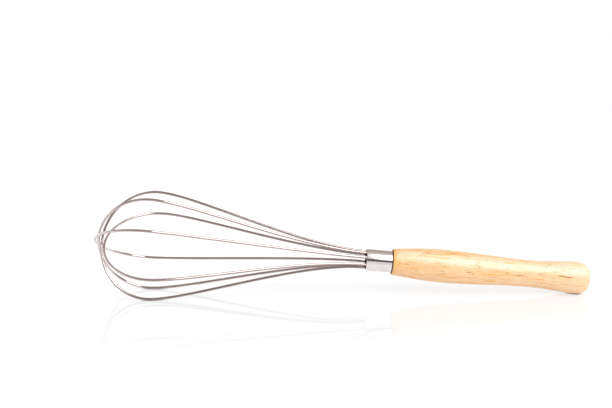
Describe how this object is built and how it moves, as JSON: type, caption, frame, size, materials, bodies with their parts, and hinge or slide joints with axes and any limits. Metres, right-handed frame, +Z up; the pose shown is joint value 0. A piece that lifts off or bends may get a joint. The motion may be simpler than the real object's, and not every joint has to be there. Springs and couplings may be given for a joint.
{
  "type": "egg whisk",
  "caption": "Balloon whisk for beating eggs and cream by hand: nested steel wire loops held in a short steel ferrule on a turned wooden handle, lying on its side.",
  "frame": {"origin": "middle of the outline on the surface that the whisk lies on", "axes": "+X along the whisk toward the butt of the handle, +Y toward the far side, +Z up from the surface"},
  "size_m": [0.2982, 0.061, 0.0619],
  "materials": {
    "handle_wood": "satin lacquer",
    "ferrule_steel": "polished",
    "wire_steel": "drawn, bright",
    "plug_nylon": "matte",
    "seal_resin": "cast"
  },
  "bodies": {
    "root": {"handle": "handle_wood", "ferrule": "ferrule_steel", "core_plug": "plug_nylon", "mouth_seal": "seal_resin", "wire_loop_outer": "wire_steel", "wire_loop_second": "wire_steel", "wire_loop_third": "wire_steel", "wire_loop_inner": "wire_steel"}
  },
  "joints": []
}
